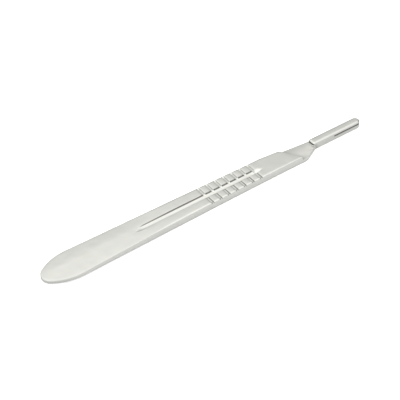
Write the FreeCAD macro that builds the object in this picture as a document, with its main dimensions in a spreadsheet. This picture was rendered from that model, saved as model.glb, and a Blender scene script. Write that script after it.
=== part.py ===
import FreeCAD, Part
import math
import os
import Sketcher

# One-piece surgical scalpel handle for large blades, in stainless steel, in millimetres.
# X runs along the handle with the blade tang at +X, and +Z is the face with the blade seat.
# Every sketch counts X from the rear tip and Z from the middle of the thickness, and the
# finished body is then placed so that its origin is the middle of its underside.

# Each driving dimension has a name, a value and what it measures.
DIMENSIONS = (
    ("overall_length", 137.0, "rear tip to tang tip"),
    ("body_thickness", 3.2, "face to face along the grip and the tang"),
    ("rear_thickness", 1.6, "face to face at the rear tip"),
    ("taper_length", 53.0, "rear tip to where the faces become parallel"),
    ("taper_blend", 4.0, "half the length of the soft blend at the end of the taper"),
    ("rear_width", 12.3, "across the widest place, near the rear"),
    ("front_width", 8.7, "across the body at the shoulder"),
    ("nose_radius", 3.6, "plan radius of the rear tip"),
    ("flank_radius", 18.0, "plan radius from the rear tip to the widest place"),
    ("waist_radius", 2900.0, "plan radius of the slightly hollow long sides"),
    ("edge_radius", 0.4, "rounding of the long edges"),
    ("shoulder_lead", 13.3, "tang's rear wall back to where the oblique step meets the long side"),
    ("step_angle", 32.0, "oblique step, in degrees from square across"),
    ("belly_lead", 6.4, "tang's rear wall back to the rounded corner of the short shoulder"),
    ("belly_radius", 4.0, "plan radius of that rounded corner"),
    ("seat_depth", 1.2, "face down to the blade seat"),
    ("tang_length", 23.3, "rear wall of the tang to its tip"),
    ("tang_width", 3.4, "across the tang"),
    ("tang_offset", 0.6, "middle of the tang from the middle of the body, towards the long flank"),
    ("tang_corner", 0.9, "plan radius of the tang's rear corners"),
    ("tang_edge_radius", 0.5, "rounding of the edge round the top of the tang"),
    ("long_flank_lead", 20.7, "tang's rear wall back to where the long side starts to narrow"),
    ("long_runout", 0.9, "tang's rear wall to where the long flank of the neck ends"),
    ("short_runout", 0.8, "tang's rear wall to where the short flank of the neck ends"),
    ("slot_length", 13.4, "tang tip back to the end of each side slot"),
    ("slot_height", 0.5, "height of each side slot, whose floor is level with the seat"),
    ("slot_depth", 0.55, "depth of each side slot into the tang"),
    ("channel_rear", 40.8, "rear tip to where the channel reaches its full depth"),
    ("channel_front", 84.3, "rear tip to where the channel starts to rise again"),
    ("channel_depth", 0.65, "depth of the channel below the parallel faces"),
    ("channel_radius", 1.0, "radius of the channel's round section"),
    ("channel_runout", 22.0, "radius on which the channel's ends rise to the face"),
    ("groove_first", 65.3, "rear tip to the first grip groove"),
    ("groove_pitch", 3.58, "spacing of the grip grooves"),
    ("groove_count", 7, "number of grip grooves on each face"),
    ("groove_width", 1.2, "opening of a grip groove"),
    ("groove_floor", 0.6, "flat floor of a grip groove"),
    ("groove_depth", 0.5, "depth of a grip groove"),
)

# A cutting sketch reaches this far past the material that it removes.
OVERCUT = 1.0

# An edge within this distance of a level is taken to lie on it.
TOLERANCE = 1e-4

# Sketcher's numbers for the parts of a line or arc, and for a sketch's own origin and axis.
START, END, CENTRE = range(1, 4)
ORIGIN = (-1, 1)
AXIS = -1

doc = FreeCAD.newDocument("ScalpelHandle")


class Measure:
    """A number together with the sheet formula that gives it, so each formula is written once."""

    def __init__(self, value, formula):
        self.value = value
        self.formula = formula

    def __add__(self, other):
        return Measure(self.value + value_of(other), f"({self.formula} + {formula_of(other)})")

    def __sub__(self, other):
        return Measure(self.value - value_of(other), f"({self.formula} - {formula_of(other)})")

    def __mul__(self, other):
        return Measure(self.value * value_of(other), f"({self.formula} * {formula_of(other)})")

    def __truediv__(self, other):
        return Measure(self.value / value_of(other), f"({self.formula} / {formula_of(other)})")

    def __neg__(self):
        return Measure(-self.value, f"(-1 * {self.formula})")


def value_of(item):
    return item.value if isinstance(item, Measure) else item


def formula_of(item):
    return item.formula if isinstance(item, Measure) else str(item)


def tangent(angle):
    """Tangent of an angle in degrees, which is also the sheet's own unit for a plain number."""
    return Measure(math.tan(math.radians(angle.value)), f"tan({angle.formula})")


def make_sheet():
    """Write each driving dimension into a cell, give the cell its name and return the measures."""
    sheet = doc.addObject("Spreadsheet::Sheet", "Sizes")
    measures = {}
    for row, (name, value, meaning) in enumerate(DIMENSIONS, start=1):
        sheet.set(f"A{row}", name)
        sheet.set(f"B{row}", str(value))
        sheet.set(f"C{row}", meaning)
        sheet.setAlias(f"B{row}", name)
        measures[name] = Measure(value, f"Sizes.{name}")
    doc.recompute()
    return measures


size = make_sheet()
half_thickness = size["body_thickness"] / 2
half_front = size["front_width"] / 2
half_tang = size["tang_width"] / 2
long_side = size["tang_offset"] + half_tang
short_side = size["tang_offset"] - half_tang
seat_level = half_thickness - size["seat_depth"]
tang_root = size["overall_length"] - size["tang_length"]
shoulder_station = tang_root - size["shoulder_lead"]
belly_start = tang_root - size["belly_lead"]
long_flank_start = tang_root - size["long_flank_lead"]
long_end = tang_root + size["long_runout"]
short_end = tang_root + size["short_runout"]

body = doc.addObject("PartDesign::Body", "Handle")
body.Label = "handle"


def origin_plane(role):
    """One of the body's own planes."""
    for item in body.Origin.OriginFeatures:
        if item.Role == role:
            return item
    raise ValueError(role)


def new_sketch(name, role, height=None):
    """An empty sketch on one of the body's planes, moved along its normal by a measure."""
    sketch = body.newObject("Sketcher::SketchObject", name)
    sketch.AttachmentSupport = [(origin_plane(role), "")]
    sketch.MapMode = "FlatFace"
    if height:
        sketch.setExpression("AttachmentOffset.Base.z", height.formula)
    return sketch


def point(place):
    return FreeCAD.Vector(value_of(place[0]), value_of(place[1]), 0)


def add_line(sketch, start, end):
    return sketch.addGeometry(Part.LineSegment(point(start), point(end)), False)


def add_arc(sketch, centre, start, end):
    """An arc that runs counter-clockwise about its centre from its start to its end."""
    middle = point(centre)
    first = point(start) - middle
    last = point(end) - middle
    circle = Part.Circle(middle, FreeCAD.Vector(0, 0, 1), first.Length)
    return sketch.addGeometry(
        Part.ArcOfCircle(circle, math.atan2(first.y, first.x), math.atan2(last.y, last.x)), False)


def add_dimension(sketch, kind, places, current, name, measure):
    """A named dimension that follows its measure, first set to what the drawn geometry has."""
    index = sketch.addConstraint(Sketcher.Constraint(kind, *places, current))
    sketch.renameConstraint(index, name)
    sketch.setExpression(f"Constraints.{name}", formula_of(measure))


def pin(sketch, geometry, end, name, place):
    """Hold one point at a place, or on an axis where a coordinate is zero."""
    x, y = place
    if value_of(x) == 0 and value_of(y) == 0:
        sketch.addConstraint(Sketcher.Constraint("Coincident", geometry, end, *ORIGIN))
        return
    drawn = sketch.getPoint(geometry, end)
    add_dimension(sketch, "DistanceX", (*ORIGIN, geometry, end), drawn.x, f"{name}_across", x)
    if value_of(y) == 0:
        sketch.addConstraint(Sketcher.Constraint("PointOnObject", geometry, end, AXIS))
        return
    add_dimension(sketch, "DistanceY", (*ORIGIN, geometry, end), drawn.y, f"{name}_up", y)


def set_radius(sketch, geometry, name, measure):
    add_dimension(sketch, "Radius", (geometry,), sketch.Geometry[geometry].Radius, name, measure)


def join(sketch, first, first_end, second, second_end):
    sketch.addConstraint(Sketcher.Constraint("Coincident", first, first_end, second, second_end))


def join_smoothly(sketch, first, first_end, second, second_end):
    sketch.addConstraint(Sketcher.Constraint("Tangent", first, first_end, second, second_end))


def add_polygon(sketch, name, corners):
    """A closed outline of straight lines, each corner held at its place."""
    lines = []
    for number, start in enumerate(corners):
        end = corners[(number + 1) % len(corners)]
        lines.append(add_line(sketch, start, end))
        pin(sketch, lines[-1], START, f"{name}_{number}", start)
    for number, item in enumerate(lines):
        join(sketch, item, END, lines[(number + 1) % len(lines)], START)
    return lines


def finish(feature):
    """Recompute, and stop if the feature failed or left the body without a valid solid."""
    doc.recompute()
    if "Invalid" in feature.State or "Error" in feature.State:
        raise RuntimeError(f"{feature.Name} failed")
    if feature.Shape.isNull() or not feature.Shape.isValid():
        raise RuntimeError(f"{feature.Name} made no valid shape")
    return feature


def cut(feature, before):
    """Finish a cutting feature, and stop if it removed nothing."""
    finish(feature)
    if not feature.Shape.Volume < before.Shape.Volume - TOLERANCE:
        raise RuntimeError(f"{feature.Name} cut nothing")
    return feature


def pad_through(name, sketch, thickness):
    """A pad of the sketch, centred on its plane."""
    pad = body.newObject("PartDesign::Pad", name)
    pad.Profile = sketch
    pad.SideType = "Symmetric"
    pad.setExpression("Length", thickness.formula)
    return finish(pad)


def pocket_through(name, sketch, before):
    """A pocket of the sketch through everything, both ways."""
    pocket = body.newObject("PartDesign::Pocket", name)
    pocket.Profile = sketch
    pocket.SideType = "Symmetric"
    pocket.Type = "ThroughAll"
    return cut(pocket, before)


def mirror(name, originals, role):
    """The same features again on the other side of one of the body's planes."""
    mirrored = body.newObject("PartDesign::Mirrored", name)
    mirrored.Originals = originals
    mirrored.MirrorPlane = (origin_plane(role), [""])
    body.Tip = mirrored
    return finish(mirrored)


def make_blank():
    """Stamped blank: nose, flank and slightly hollow side on one half, mirrored to the other."""
    nose_radius = size["nose_radius"]
    flank_radius = size["flank_radius"]
    waist_radius = size["waist_radius"]
    nose = point((nose_radius, 0))
    flank_y = size["rear_width"] / 2 - flank_radius
    reach = flank_radius.value - nose_radius.value
    flank = point((nose.x + math.sqrt(reach**2 - flank_y.value**2), flank_y))
    shoulder = point((shoulder_station, half_front))

    # The hollow side's centre is a known distance from the flank's centre and from the shoulder.
    chord = shoulder - flank
    near = waist_radius.value + flank_radius.value
    along = (near**2 - waist_radius.value**2 + chord.Length**2) / (2 * chord.Length)
    aside = math.sqrt(near**2 - along**2)
    direction = chord.normalize()
    upward = FreeCAD.Vector(-direction.y, direction.x, 0)
    waist = flank + direction * along + upward * aside
    nose_end = nose + (nose - flank).normalize() * nose_radius.value
    flank_end = flank + (waist - flank).normalize() * flank_radius.value

    sketch = new_sketch("BlankOutline", "XY_Plane")
    nose_arc = add_arc(sketch, nose, nose_end, (0, 0))
    flank_arc = add_arc(sketch, flank, flank_end, nose_end)
    side_arc = add_arc(sketch, waist, flank_end, shoulder)
    edge = add_line(sketch, shoulder, (long_end, half_front))
    front = add_line(sketch, (long_end, half_front), (long_end, 0))
    middle = add_line(sketch, (long_end, 0), (0, 0))
    pin(sketch, nose_arc, END, "tip", (0, 0))
    sketch.addConstraint(Sketcher.Constraint("PointOnObject", nose_arc, CENTRE, AXIS))
    set_radius(sketch, nose_arc, "nose", nose_radius)
    join_smoothly(sketch, nose_arc, START, flank_arc, END)
    set_radius(sketch, flank_arc, "flank", flank_radius)
    add_dimension(sketch, "DistanceY", (*ORIGIN, flank_arc, CENTRE), flank.y, "widest", flank_y)
    join_smoothly(sketch, flank_arc, START, side_arc, START)
    set_radius(sketch, side_arc, "waist", waist_radius)
    pin(sketch, side_arc, END, "shoulder", (shoulder_station, half_front))
    join(sketch, side_arc, END, edge, START)
    join(sketch, edge, END, front, START)
    pin(sketch, front, START, "corner", (long_end, half_front))
    join(sketch, front, END, middle, START)
    pin(sketch, middle, START, "front", (long_end, 0))
    join(sketch, middle, END, nose_arc, END)
    half = pad_through("HalfBlank", sketch, size["body_thickness"])
    return mirror("Blank", [half], "XZ_Plane")


def taper_rear(before):
    """Both faces slope in towards the rear tip, with a soft blend where they become parallel."""
    length = size["taper_length"]
    blend = size["taper_blend"]
    half_rear = size["rear_thickness"] / 2
    slope = (half_thickness - half_rear) / length
    top = half_thickness + OVERCUT
    rear = -OVERCUT
    rear_level = half_rear - slope * OVERCUT
    blend_level = half_thickness - slope * blend
    blend_start = (length - blend, blend_level)
    blend_end = (length + blend, half_thickness)

    sketch = new_sketch("TaperWedge", "XZ_Plane")
    radius = Measure(2 * blend.value / slope.value, f"(2 * {blend.formula} / {slope.formula})")
    centre = (length + blend, half_thickness - radius)
    face = add_line(sketch, (rear, rear_level), blend_start)
    soft = add_arc(sketch, centre, blend_end, blend_start)
    front = add_line(sketch, blend_end, (length + blend, top))
    roof = add_line(sketch, (length + blend, top), (rear, top))
    back = add_line(sketch, (rear, top), (rear, rear_level))
    pin(sketch, face, START, "rear", (rear, rear_level))
    pin(sketch, face, END, "blend_start", blend_start)
    join(sketch, face, END, soft, END)
    pin(sketch, soft, START, "blend_end", blend_end)
    set_radius(sketch, soft, "blend", radius)
    join(sketch, soft, START, front, START)
    pin(sketch, front, END, "front_top", (length + blend, top))
    join(sketch, front, END, roof, START)
    pin(sketch, roof, END, "rear_top", (rear, top))
    join(sketch, roof, END, back, START)
    join(sketch, back, END, face, START)
    wedge = pocket_through("RearTaper", sketch, before)
    return mirror("RearTaperBelow", [wedge], "XY_Plane")


def narrow_neck(before):
    """The long flank is straight, and the short one turns in round a convex belly."""
    outside = half_front + OVERCUT
    ahead = long_end + OVERCUT
    run = long_end - long_flank_start
    fall = half_front - long_side
    sketch = new_sketch("LongFlank", "XY_Plane")
    add_polygon(sketch, "corner", (
        (long_flank_start - run / fall * OVERCUT, outside),
        (long_end, long_side),
        (ahead, long_side),
        (ahead, outside),
    ))
    long_flank = pocket_through("LongFlankCut", sketch, before)

    start = belly_start
    radius = size["belly_radius"]
    centre = point((start, radius - half_front))
    foot = point((short_end, short_side))
    reach = foot - centre
    turn = math.atan2(reach.y, reach.x) - math.acos(radius.value / reach.Length)
    touch = centre + FreeCAD.Vector(math.cos(turn), math.sin(turn), 0) * radius.value

    sketch = new_sketch("ShortFlank", "XY_Plane")
    belly = add_arc(sketch, centre, (start, -half_front), touch)
    flank = add_line(sketch, touch, foot)
    step = add_line(sketch, foot, (ahead, short_side))
    front = add_line(sketch, (ahead, short_side), (ahead, -outside))
    outer = add_line(sketch, (ahead, -outside), (start, -outside))
    back = add_line(sketch, (start, -outside), (start, -half_front))
    pin(sketch, belly, START, "belly", (start, -half_front))
    set_radius(sketch, belly, "belly", radius)
    add_dimension(sketch, "DistanceX", (*ORIGIN, belly, CENTRE), centre.x, "belly_centre", start)
    join_smoothly(sketch, belly, END, flank, START)
    pin(sketch, flank, END, "foot", (short_end, short_side))
    join(sketch, flank, END, step, START)
    pin(sketch, step, END, "ahead", (ahead, short_side))
    join(sketch, step, END, front, START)
    pin(sketch, front, END, "outer", (ahead, -outside))
    join(sketch, front, END, outer, START)
    pin(sketch, outer, END, "back", (start, -outside))
    join(sketch, outer, END, back, START)
    join(sketch, back, END, belly, START)
    return pocket_through("ShortFlankCut", sketch, long_flank)


def round_edges(name, before, chosen, radius):
    """Round the edges that a test picks."""
    names = [f"Edge{number}" for number, edge in enumerate(before.Shape.Edges, start=1) if chosen(edge)]
    fillet = body.newObject("PartDesign::Fillet", name)
    fillet.Base = (before, names)
    fillet.setExpression("Radius", radius.formula)
    return cut(fillet, before)


def is_rim(edge):
    """True for an edge of the body's top face, or of the whole underside, along the outline."""
    box = edge.BoundBox
    upright = box.ZLength > box.XLength + box.YLength
    square_across = box.XLength < TOLERANCE
    outline = not upright and not square_across
    below = box.ZMax < 0
    behind_step = box.XMax < belly_start.value and box.YLength < half_front.value * 2
    above = box.ZMin > seat_level.value + TOLERANCE
    return outline and (below or (above and behind_step))


def cut_seat(before):
    """Recess for the blade's tail, from the oblique step to the end of the neck."""
    lean = tangent(size["step_angle"])
    outside = half_front + OVERCUT
    station = shoulder_station
    sketch = new_sketch("SeatOutline", "XY_Plane", seat_level)
    add_polygon(sketch, "corner", (
        (station - lean * OVERCUT, outside),
        (station + lean * (half_front * 2 + OVERCUT), -outside),
        (long_end + OVERCUT, -outside),
        (long_end + OVERCUT, outside),
    ))
    pocket = body.newObject("PartDesign::Pocket", "Seat")
    pocket.Profile = sketch
    pocket.Type = "ThroughAll"
    pocket.Reversed = True
    return cut(pocket, before)


def add_tang(before):
    """Full-thickness tang with a round tip, whose rear wall stands on the seat."""
    corner = size["tang_corner"]
    tip_centre = size["overall_length"] - half_tang
    offset = size["tang_offset"]
    long_inner = long_side - corner
    short_inner = short_side + corner
    rear = tang_root + corner

    sketch = new_sketch("TangOutline", "XY_Plane")
    tip = add_arc(sketch, (tip_centre, offset), (tip_centre, short_side), (tip_centre, long_side))
    left = add_line(sketch, (tip_centre, long_side), (rear, long_side))
    left_corner = add_arc(sketch, (rear, long_inner), (rear, long_side), (tang_root, long_inner))
    back = add_line(sketch, (tang_root, long_inner), (tang_root, short_inner))
    right_corner = add_arc(sketch, (rear, short_inner), (tang_root, short_inner), (rear, short_side))
    right = add_line(sketch, (rear, short_side), (tip_centre, short_side))
    pin(sketch, tip, CENTRE, "tip", (tip_centre, offset))
    join_smoothly(sketch, tip, END, left, START)
    join_smoothly(sketch, left, END, left_corner, START)
    join_smoothly(sketch, left_corner, END, back, START)
    join_smoothly(sketch, back, END, right_corner, START)
    join_smoothly(sketch, right_corner, END, right, START)
    join_smoothly(sketch, right, END, tip, START)
    set_radius(sketch, tip, "tip", half_tang)
    set_radius(sketch, left_corner, "left_corner", corner)
    set_radius(sketch, right_corner, "right_corner", corner)
    sketch.addConstraint(Sketcher.Constraint("Horizontal", left))
    sketch.addConstraint(Sketcher.Constraint("Horizontal", right))
    sketch.addConstraint(Sketcher.Constraint("Vertical", back))
    add_dimension(sketch, "DistanceX", (*ORIGIN, back, START), tang_root.value, "root", tang_root)
    return pad_through("Tang", sketch, size["body_thickness"])


def is_tang_rim(edge):
    """True for an edge round the top of the tang."""
    box = edge.BoundBox
    return box.ZMin > half_thickness.value - TOLERANCE and box.XMin > tang_root.value - TOLERANCE


def cut_slots(before):
    """A straight slot along each side of the tang, open at the tip, that the blade slides in."""
    depth = size["slot_depth"]
    rear = size["overall_length"] - size["slot_length"]
    front = size["overall_length"] + OVERCUT
    sketch = new_sketch("SlotOutline", "XY_Plane", seat_level)
    for name, inner, outer in (
        ("long_slot", long_side - depth, long_side + OVERCUT),
        ("short_slot", short_side + depth, short_side - OVERCUT),
    ):
        add_polygon(sketch, name, ((rear, inner), (front, inner), (front, outer), (rear, outer)))
    pocket = body.newObject("PartDesign::Pocket", "Slots")
    pocket.Profile = sketch
    pocket.Reversed = True
    pocket.setExpression("Length", size["slot_height"].formula)
    return cut(pocket, before)


def cut_channel(before):
    """Channel as a round-rimmed disc cutter leaves it: plunged, run along and lifted again."""
    radius = size["channel_radius"]
    floor = half_thickness - size["channel_depth"]
    features = []

    def section(name, station):
        sketch = new_sketch(name, "YZ_Plane", station)
        circle = Part.Circle(point((0, floor + radius)), FreeCAD.Vector(0, 0, 1), radius.value)
        sketch.addGeometry(circle, False)
        sketch.addConstraint(Sketcher.Constraint("PointOnObject", 0, CENTRE, -2))
        set_radius(sketch, 0, "section", radius)
        add_dimension(
            sketch, "DistanceY", (*ORIGIN, 0, CENTRE), floor.value + radius.value, "height", floor + radius)
        return sketch

    run = body.newObject("PartDesign::Pocket", "ChannelRun")
    run.Profile = section("ChannelSection", size["channel_rear"])
    run.Reversed = True
    run.setExpression("Length", (size["channel_front"] - size["channel_rear"]).formula)
    features.append(cut(run, before))
    for name in ("channel_rear", "channel_front"):
        title = name.title().replace("_", "")
        sketch = section(f"{title}Section", size[name])
        axis_height = floor + size["channel_runout"]
        start = (-radius, axis_height)
        end = (radius, axis_height)
        axis = sketch.addGeometry(Part.LineSegment(point(start), point(end)), True)
        pin(sketch, axis, START, "axis_start", start)
        pin(sketch, axis, END, "axis_end", end)
        sweep = body.newObject("PartDesign::Groove", f"{title}Runout")
        sweep.Profile = sketch
        sweep.ReferenceAxis = (sketch, ["Axis0"])
        sweep.Angle = 360
        features.append(cut(sweep, features[-1]))
    return mirror("ChannelBelow", features, "XY_Plane")


def cut_grooves(before):
    """Grip grooves milled straight across both faces."""
    sketch = new_sketch("GrooveSection", "XZ_Plane")
    middle = size["groove_first"]
    half_mouth = size["groove_width"] / 2
    half_floor = size["groove_floor"] / 2
    depth = size["groove_depth"]
    flare = (half_mouth - half_floor) / depth
    for name, side in (("above", 1), ("below", -1)):
        level = half_thickness - depth
        over = half_thickness + OVERCUT
        wide = half_mouth + flare * OVERCUT
        add_polygon(sketch, name, (
            (middle - half_floor, level * side),
            (middle + half_floor, level * side),
            (middle + wide, over * side),
            (middle - wide, over * side),
        ))
    groove = pocket_through("Groove", sketch, before)
    pattern = body.newObject("PartDesign::LinearPattern", "Grooves")
    pattern.Originals = [groove]
    pattern.Direction = (origin_axis("X_Axis"), [""])
    pattern.Mode = "Spacing"
    pattern.setExpression("Offset", size["groove_pitch"].formula)
    pattern.setExpression("Occurrences", size["groove_count"].formula)
    body.Tip = pattern
    return cut(pattern, groove)


def origin_axis(role):
    """One of the body's own axes."""
    return origin_plane(role)


def main():
    blank = make_blank()
    tapered = taper_rear(blank)
    necked = narrow_neck(tapered)
    seated = cut_seat(necked)
    tanged = add_tang(seated)
    rounded = round_edges("LongEdges", tanged, is_rim, size["edge_radius"])
    softened = round_edges("TangEdges", rounded, is_tang_rim, size["tang_edge_radius"])
    slotted = cut_slots(softened)
    fluted = cut_channel(slotted)
    cut_grooves(fluted)

    body.setExpression("Placement.Base.x", (-(size["overall_length"] / 2)).formula)
    body.setExpression("Placement.Base.z", half_thickness.formula)
    doc.recompute()
    for item in doc.Objects:
        if "Invalid" in item.State or "Error" in item.State:
            raise RuntimeError(f"{item.Name} failed")
    shape = body.Shape
    if shape.isNull() or not shape.isValid() or len(shape.Solids) != 1:
        raise RuntimeError("the handle is not one valid solid")
    os.makedirs("parts", exist_ok=True)
    shape.exportStep(f"parts/{body.Label}.step")
    box = shape.optimalBoundingBox()
    print(f"handle: {box.XLength:.2f} x {box.YLength:.2f} x {box.ZLength:.2f} mm")
    print(f"volume {shape.Volume:.1f} mm3, {len(shape.Faces)} faces")


main()
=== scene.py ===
import math

import bmesh
import bpy
import numpy as np
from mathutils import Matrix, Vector


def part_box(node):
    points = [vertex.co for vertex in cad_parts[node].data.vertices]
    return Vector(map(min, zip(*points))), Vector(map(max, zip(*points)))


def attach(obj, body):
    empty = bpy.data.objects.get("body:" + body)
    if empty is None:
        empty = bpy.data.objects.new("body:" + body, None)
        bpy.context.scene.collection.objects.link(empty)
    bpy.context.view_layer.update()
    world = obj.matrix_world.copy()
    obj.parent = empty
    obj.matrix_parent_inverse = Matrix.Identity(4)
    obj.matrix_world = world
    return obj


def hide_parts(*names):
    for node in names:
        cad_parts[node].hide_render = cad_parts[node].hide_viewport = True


bl_info = {
    "name": "Scalpel handle",
    "version": (1, 0, 0),
    "blender": (4, 5, 0),
    "location": "3D View > Sidebar > Scalpel",
    "description": "Builds a satin steel scalpel handle round its CAD frame",
    "category": "Add Mesh",
}

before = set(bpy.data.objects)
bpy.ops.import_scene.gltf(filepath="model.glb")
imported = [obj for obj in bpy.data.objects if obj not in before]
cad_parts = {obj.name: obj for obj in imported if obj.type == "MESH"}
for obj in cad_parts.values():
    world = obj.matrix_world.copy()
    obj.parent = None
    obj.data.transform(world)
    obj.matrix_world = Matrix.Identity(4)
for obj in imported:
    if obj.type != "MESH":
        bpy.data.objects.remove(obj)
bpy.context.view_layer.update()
CAD_LOW, CAD_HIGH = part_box("handle")

MM = 0.001

# Points closer than the first, in metres, become one. The second keeps a divisor above zero.
MERGE_DISTANCE = 1e-7
LEAST = 1e-9


# Small helpers

def linear(hex_colour):
    """sRGB hex value as linear RGBA."""
    channels = [int(hex_colour[i:i + 2], 16) / 255 for i in (1, 3, 5)]
    return tuple(c / 12.92 if c <= 0.04045 else ((c + 0.055) / 1.055) ** 2.4 for c in channels) + (1.0,)


def soft_min(a, b, width):
    """The lower of two heights, rounded over where they are within the width of each other."""
    near = np.clip(1 - np.abs(a - b) / width, 0, 1)
    return np.minimum(a, b) - near * near * width / 4


def soft_max(a, b, width):
    """The higher of two heights, rounded in the same way."""
    return -soft_min(-a, -b, width)


def smooth_step(low, high, value):
    """0 below low, 1 above high, and 3t^2 - 2t^3 between them."""
    t = np.clip((value - low) / (high - low), 0, 1)
    return t * t * (3 - 2 * t)


def band(value, rise, fall):
    """1 inside a band and 0 outside it, with a smooth step over its rise and over its fall."""
    return smooth_step(*rise, value) * (1 - smooth_step(*fall, value))


def crown(distance, fall, reach):
    """Fall of a tumbled face towards an edge: fall times e^(-distance / reach)."""
    return fall * np.exp(-np.maximum(distance, 0) / reach)


def fillet(distance, radius):
    """Rise of a round foot towards a wall: r - sqrt(r^2 - (r - distance)^2)."""
    left = np.clip(radius - distance, 0, radius)
    return radius - np.sqrt(radius ** 2 - left ** 2)


def length(name, default, description):
    """A size that the user can change, in metres."""
    return bpy.props.FloatProperty(
        name=name, description=description, default=default,
        min=0.0, subtype="DISTANCE", unit="LENGTH", precision=5)


def angle(name, degrees, description):
    """An angle that the user can change."""
    return bpy.props.FloatProperty(
        name=name, description=description, default=math.radians(degrees), subtype="ANGLE", unit="ROTATION")


def number(name, default, description, least=0.0, most=1.0):
    """A plain number that the user can change."""
    return bpy.props.FloatProperty(name=name, description=description, default=default, min=least, max=most)


def tint(name, hex_colour, description):
    """A colour that the user can change."""
    return bpy.props.FloatVectorProperty(
        name=name, description=description, default=linear(hex_colour),
        subtype="COLOR", size=4, min=0.0, max=1.0)


# Sizes and colours

class HandleSizes(bpy.types.PropertyGroup):
    overall_length: length("Overall length", CAD_HIGH[0] - CAD_LOW[0], "Rear tip to tang tip")
    thickness: length("Thickness", CAD_HIGH[2] - CAD_LOW[2], "Face to face along the grip and the tang")
    rear_thickness: length("Rear thickness", 1.6 * MM, "Face to face at the rear tip")
    taper_length: length("Taper length", 53.0 * MM, "Rear tip to where the faces become parallel")
    taper_blend: length("Taper blend", 4.0 * MM, "Half the length of the blend at the end of the taper")
    rear_width: length("Rear width", CAD_HIGH[1] - CAD_LOW[1], "Across the widest place")
    front_width: length("Front width", 8.7 * MM, "Across the body at the shoulder")
    nose_radius: length("Nose radius", 3.6 * MM, "Plan radius of the rear tip")
    flank_radius: length("Flank radius", 18.0 * MM, "Plan radius from the tip to the widest place")
    waist_radius: length("Waist radius", 2900.0 * MM, "Plan radius of the hollow long sides")
    edge_breadth: length("Edge breadth", 0.7 * MM, "Reach of the long edges' rounding into the faces")
    edge_fall: length("Edge fall", 0.32 * MM, "Reach of the long edges' rounding down the sides")
    rear_breadth: length("Rear edge breadth", 0.12 * MM, "The same reach into the faces round the rear")
    step_edge: length("Step edge", 0.3 * MM, "Rounding of the oblique step's upper edge")
    seat_edge: length("Seat edge", 0.08 * MM, "Rounding of the blade seat's edges")
    shoulder_lead: length("Shoulder lead", 13.3 * MM, "Tang's rear wall back to the oblique step's start")
    belly_lead: length("Belly lead", 6.4 * MM, "Tang's rear wall back to the short shoulder's corner")
    belly_radius: length("Belly radius", 4.0 * MM, "Plan radius of that corner")
    flank_lead: length("Flank lead", 20.7 * MM, "Tang's rear wall back to where the long side narrows")
    seat_depth: length("Seat depth", 1.2 * MM, "Face down to the blade seat")
    tang_length: length("Tang length", 23.3 * MM, "Rear wall of the tang to its tip")
    tang_width: length("Tang width", 3.4 * MM, "Across the tang")
    tang_offset: length("Tang offset", 0.6 * MM, "Middle of the tang from the middle of the body")
    tang_corner: length("Tang corner", 0.9 * MM, "Plan radius of the tang's rear corners")
    tang_edge: length("Tang edge", 0.95 * MM, "How far the rounding along the tang reaches into its top")
    tang_fall: length("Tang edge fall", 0.5 * MM, "How far that rounding reaches down the sides")
    tang_lip: length("Tang lip", 0.75 * MM, "Rounding of the tang's upper rear edge")
    seat_foot: length("Seat foot", 0.28 * MM, "Fillet between the seat and the walls behind and before it")
    slot_length: length("Slot length", 13.4 * MM, "Tang tip back to the end of each side slot")
    slot_height: length("Slot height", 0.42 * MM, "Height of each side slot")
    slot_depth: length("Slot depth", 0.55 * MM, "Depth of each side slot")
    channel_rear: length("Channel rear", 40.5 * MM, "Rear tip to the channel's full depth")
    channel_front: length("Channel front", 84.3 * MM, "Rear tip to where the channel rises again")
    channel_depth: length("Channel depth", 0.65 * MM, "Depth below the parallel faces")
    channel_far: length("Channel far side", 0.68 * MM, "Middle of the handle to the crisp far rim")
    channel_near: length("Channel near side", 1.35 * MM, "Middle of the handle to the soft near rim")
    channel_bottom: length("Channel bottom", 0.8 * MM, "Middle of the handle to the channel's lowest line")
    channel_slant: number("Channel slant", 0.24, "Share of the channel's far side that rises evenly")
    channel_power: number(
        "Channel section", 2.6, "Power of the section: 2 is an ellipse, more is squarer", 2.0, 20.0)
    channel_runout: length("Channel run-out", 22.0 * MM, "Radius on which the channel's ends rise")
    groove_first: length("First groove", 65.3 * MM, "Rear tip to the first grip groove")
    groove_pitch: length("Groove pitch", 3.58 * MM, "Spacing of the grip grooves")
    groove_width: length("Groove width", 1.3 * MM, "Opening of a grip groove")
    groove_floor: length("Groove floor", 0.6 * MM, "Flat floor of a grip groove")
    groove_depth: length("Groove depth", 0.5 * MM, "Depth of a grip groove")
    groove_end: length("Groove end", 0.8 * MM, "From an edge to where a groove starts to get shallow")
    edge_crown: length("Edge crown", 0.035 * MM, "How far tumbling lets a face fall at its edges")
    crown_reach: length("Crown reach", 0.55 * MM, "How fast that fall fades towards the middle of a face")
    ridge: length("Ridge", 1.3 * MM, "Middle of the handle to the soft ridge along the rear faces")
    ridge_angle: angle("Ridge angle", 1.2, "Slope of the rear faces away from their ridge")
    step_angle: angle("Step angle", 32.0, "Oblique step, from square across")
    groove_count: bpy.props.IntProperty(
        name="Grooves", description="Number of grip grooves on each face", default=7, min=1)


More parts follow.
